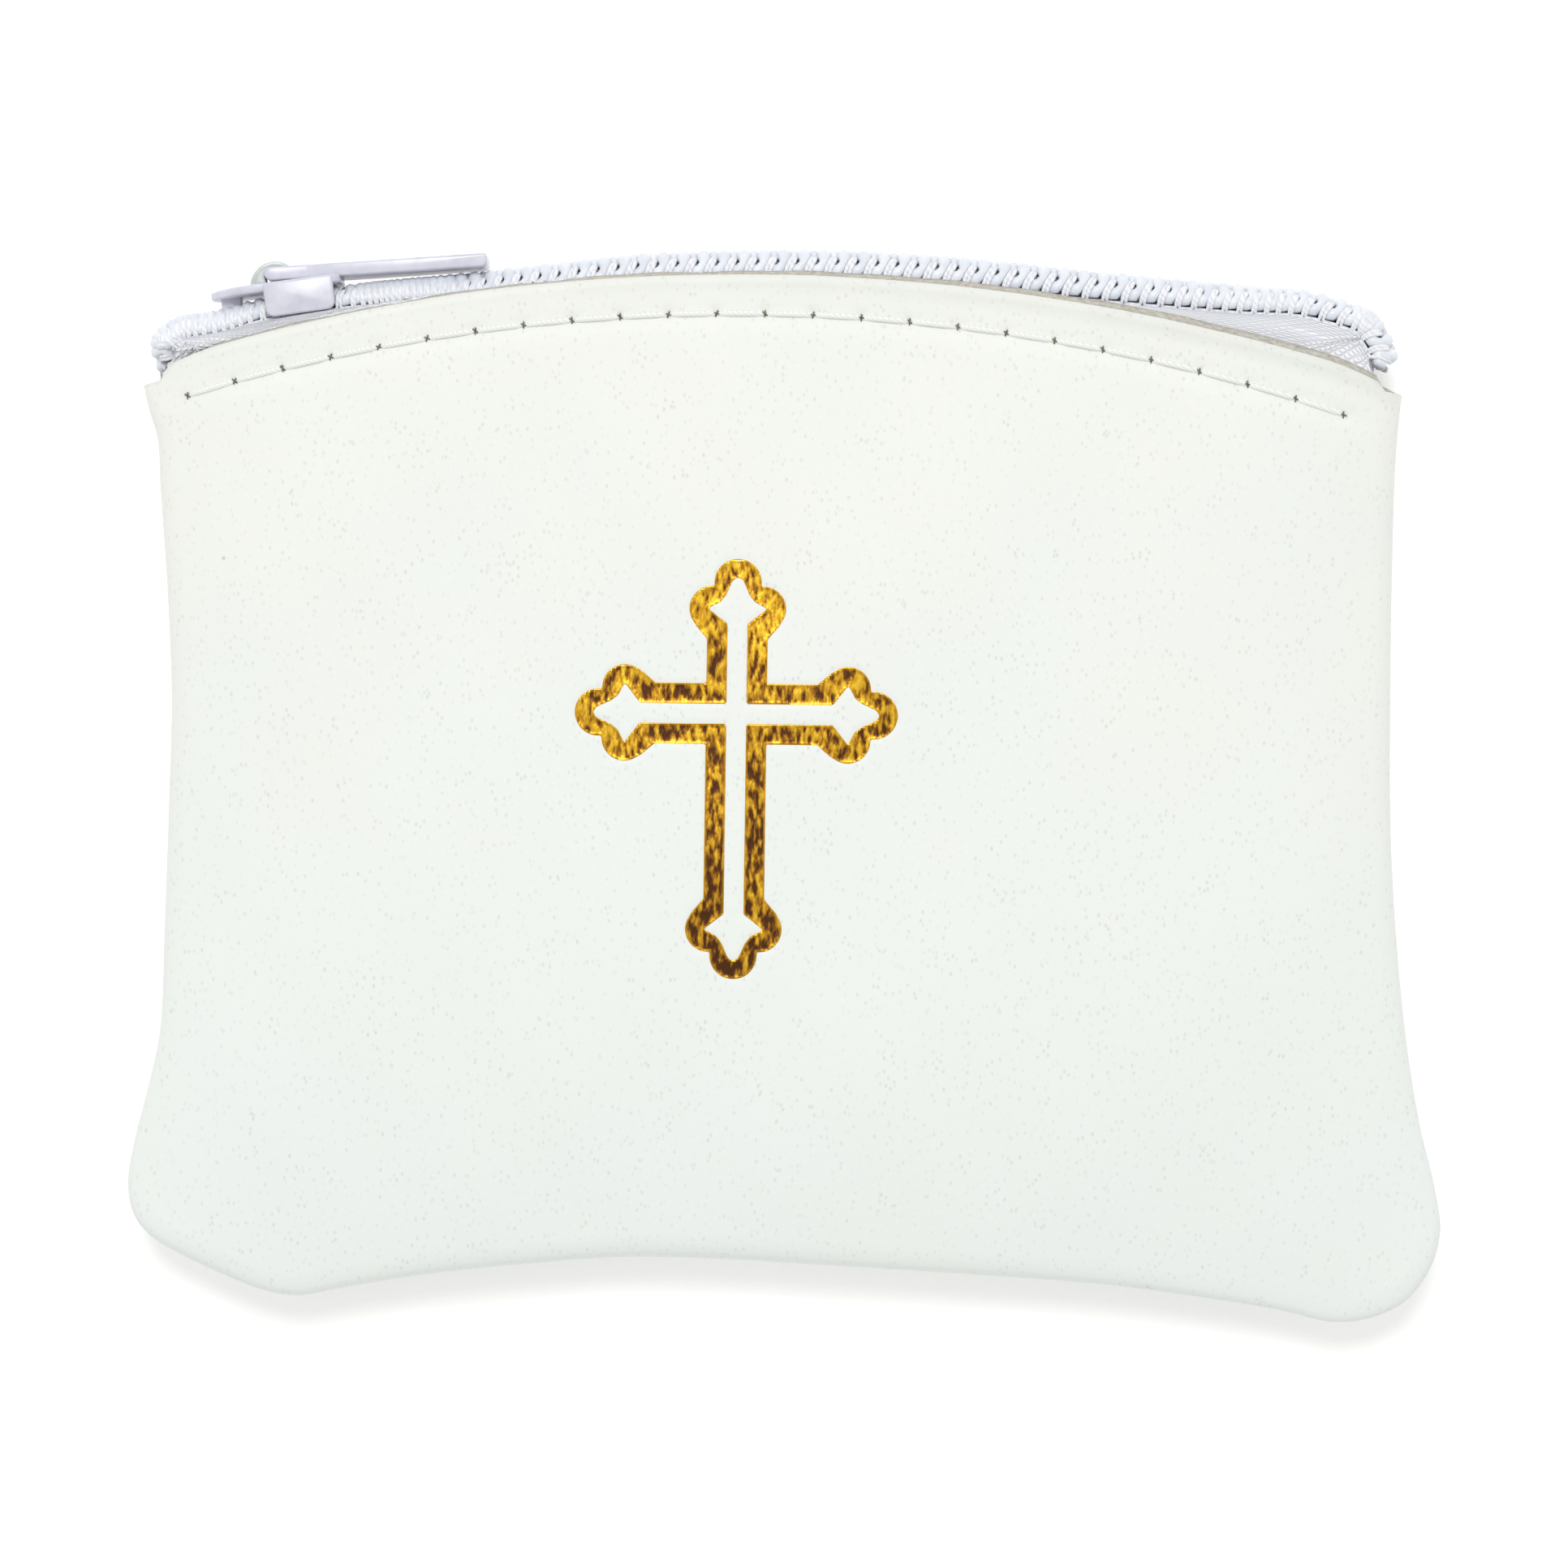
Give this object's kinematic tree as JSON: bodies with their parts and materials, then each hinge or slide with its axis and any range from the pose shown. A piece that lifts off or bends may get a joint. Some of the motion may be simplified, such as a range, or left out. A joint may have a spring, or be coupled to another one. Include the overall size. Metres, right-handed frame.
{
  "type": "zippered rosary pouch",
  "caption": "Small flat white leather rosary pouch with a coil zip along its top, a painted slider and pull tab, and a gold foil cross stamped on the front.",
  "frame": {"origin": "under the middle of the whole pouch, on the plane that its back panel lies on", "axes": "+X along the zip to the right, +Y from the bottom seam towards the zip, +Z out of the front panel"},
  "size_m": [0.0888, 0.0726, 0.0098],
  "materials": {
    "leather": "white corrected-grain leather, fine pores, low sheen",
    "gold_foil": "hot-stamped gold foil on a pressed leather grain",
    "zip_tape": "white woven polyester tape",
    "zip_coil": "white nylon monofilament",
    "filler_cord": "white twisted cord",
    "zip_thread": "white polyester thread",
    "sewing_thread": "white sewing thread",
    "slider_paint": "off-white enamel on die-cast zinc, slightly lavender",
    "cap_paint": "pale grey-green enamel on sprung steel"
  },
  "bodies": {
    "pouch_back": {"back_panel": "leather", "back_zip_tape": "zip_tape", "back_coil": "zip_coil", "back_coil_cord": "filler_cord", "back_coil_stitching": "zip_thread", "back_top_stitching": "sewing_thread", "back_top_bobbin_thread": "sewing_thread", "seam_bobbin_thread": "sewing_thread"},
    "pouch_front": {"front_panel": "leather", "gold_cross_foil": "gold_foil", "front_zip_tape": "zip_tape", "front_coil": "zip_coil", "front_coil_cord": "filler_cord", "front_coil_stitching": "zip_thread", "front_top_stitching": "sewing_thread", "front_top_bobbin_thread": "sewing_thread", "seam_needle_thread": "sewing_thread"},
    "slider": {"slider_body": "slider_paint"},
    "spring_cap": {"slider_spring_cap": "cap_paint"},
    "tab": {"pull_tab": "slider_paint"}
  },
  "joints": [
    {"name": "zip_travel", "type": "hinge", "parent": "pouch_back", "child": "slider", "pos_m": [0.00135, -0.16372, 0.0047], "axis": [0, 0, -1], "range_deg": [0, 20.6], "deforming": ["back_coil", "front_coil", "front_coil_cord", "front_coil_stitching"]},
    {"name": "mouth_open", "type": "hinge", "parent": "pouch_back", "child": "pouch_front", "pos_m": [0, -0.0365, 0.0047], "axis": [1, 0, 0], "range_deg": [0, 12]},
    {"name": "tab_swing", "type": "hinge", "parent": "slider", "child": "tab", "pos_m": [-0.03467, 0.03456, 0.0047], "axis": [0, 0, 1], "range_deg": [0, 180]},
    {"name": "lock_lift", "type": "slide", "parent": "slider", "child": "spring_cap", "axis": [-0.1346, 0.9909, 0], "range_m": [0, 0.0003], "stiffness_N_per_m": 200}
  ],
  "couplings": [
    {"joint": "mouth_open", "follows": "zip_travel", "ratio": 0.58252}
  ]
}
